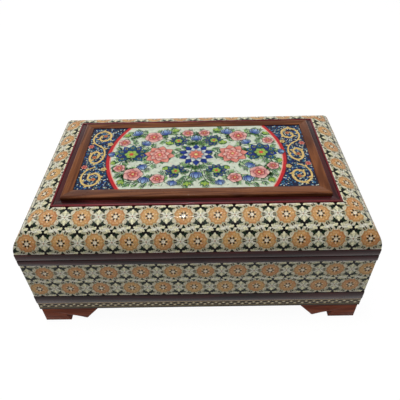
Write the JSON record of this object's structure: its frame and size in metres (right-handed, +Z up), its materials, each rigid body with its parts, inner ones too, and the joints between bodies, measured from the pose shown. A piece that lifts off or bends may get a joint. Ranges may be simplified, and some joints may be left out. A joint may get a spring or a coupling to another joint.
{
  "type": "hinged jewelry box",
  "caption": "Rectangular hinged jewelry box with inlaid sides, a curved inlaid lid with a raised frame round a painted panel, and bracket feet.",
  "frame": {"origin": "middle of the footprint, on the surface that the feet stand on", "axes": "+X along the front, +Y towards the hinged back, +Z up"},
  "size_m": [0.22, 0.138, 0.094],
  "materials": {
    "khatam_inlay": "tiny triangles of pale, orange and dark wood, bone and brass under a glossy clear lacquer",
    "chain_inlay": "dark strip with slanted cream lozenges under a glossy clear lacquer",
    "dark_lacquered_wood": "dark maroon-brown stained wood, polished lacquer",
    "frame_wood": "reddish-brown wood, polished lacquer",
    "foot_wood": "reddish-brown wood, satin varnish",
    "carcase_wood": "plain planed softwood",
    "red_bead": "dark red painted bead, polished lacquer",
    "painted_panel": "floral painting on a board under a glossy clear lacquer",
    "velvet_lining": "short-pile dark red velvet on card",
    "hinge_brass": "polished brass",
    "screw_brass": "polished brass, slotted heads"
  },
  "bodies": {
    "base": {"back_wall": "carcase_wood", "base_hinge_screws": "screw_brass", "base_khatam_back": "khatam_inlay", "base_khatam_front": "khatam_inlay", "base_khatam_left": "khatam_inlay", "base_khatam_right": "khatam_inlay", "base_rim_back": "dark_lacquered_wood", "base_rim_front": "dark_lacquered_wood", "base_rim_left": "dark_lacquered_wood", "base_rim_right": "dark_lacquered_wood", "bottom_board": "carcase_wood", "chain_strip_back": "chain_inlay", "chain_strip_front": "chain_inlay", "chain_strip_left": "chain_inlay", "chain_strip_right": "chain_inlay", "floor_lining": "velvet_lining", "foot_back_left": "foot_wood", "foot_back_right": "foot_wood", "foot_front_left": "foot_wood", "foot_front_right": "foot_wood", "front_wall": "carcase_wood", "hinge_lower_leaf_left": "hinge_brass", "hinge_lower_leaf_right": "hinge_brass", "hinge_pin_left": "hinge_brass", "hinge_pin_right": "hinge_brass", "left_wall": "carcase_wood", "lower_band_back": "dark_lacquered_wood", "lower_band_front": "dark_lacquered_wood", "lower_band_left": "dark_lacquered_wood", "lower_band_right": "dark_lacquered_wood", "right_wall": "carcase_wood", "wall_linings": "velvet_lining"},
    "lid": {"frame_bar_back": "frame_wood", "frame_bar_front": "frame_wood", "frame_bar_left": "frame_wood", "frame_bar_right": "frame_wood", "hinge_upper_leaf_left": "hinge_brass", "hinge_upper_leaf_right": "hinge_brass", "lid_board": "carcase_wood", "lid_hinge_screws": "screw_brass", "lid_khatam_back": "khatam_inlay", "lid_khatam_front": "khatam_inlay", "lid_khatam_left": "khatam_inlay", "lid_khatam_right": "khatam_inlay", "lid_ledge_back": "dark_lacquered_wood", "lid_ledge_front": "dark_lacquered_wood", "lid_ledge_left": "dark_lacquered_wood", "lid_ledge_right": "dark_lacquered_wood", "lid_lining": "velvet_lining", "lid_rail_back": "carcase_wood", "lid_rail_front": "carcase_wood", "lid_rail_left": "carcase_wood", "lid_rail_right": "carcase_wood", "lid_rim_back": "dark_lacquered_wood", "lid_rim_front": "dark_lacquered_wood", "lid_rim_left": "dark_lacquered_wood", "lid_rim_right": "dark_lacquered_wood", "lid_side_linings": "velvet_lining", "painted_panel": "painted_panel", "red_bead": "red_bead"}
  },
  "joints": [
    {"name": "lid_hinge", "type": "hinge", "parent": "base", "child": "lid", "pos_m": [0, 0.0656, 0.066], "axis": [-1, 0, 0], "range_deg": [0, 100]}
  ]
}
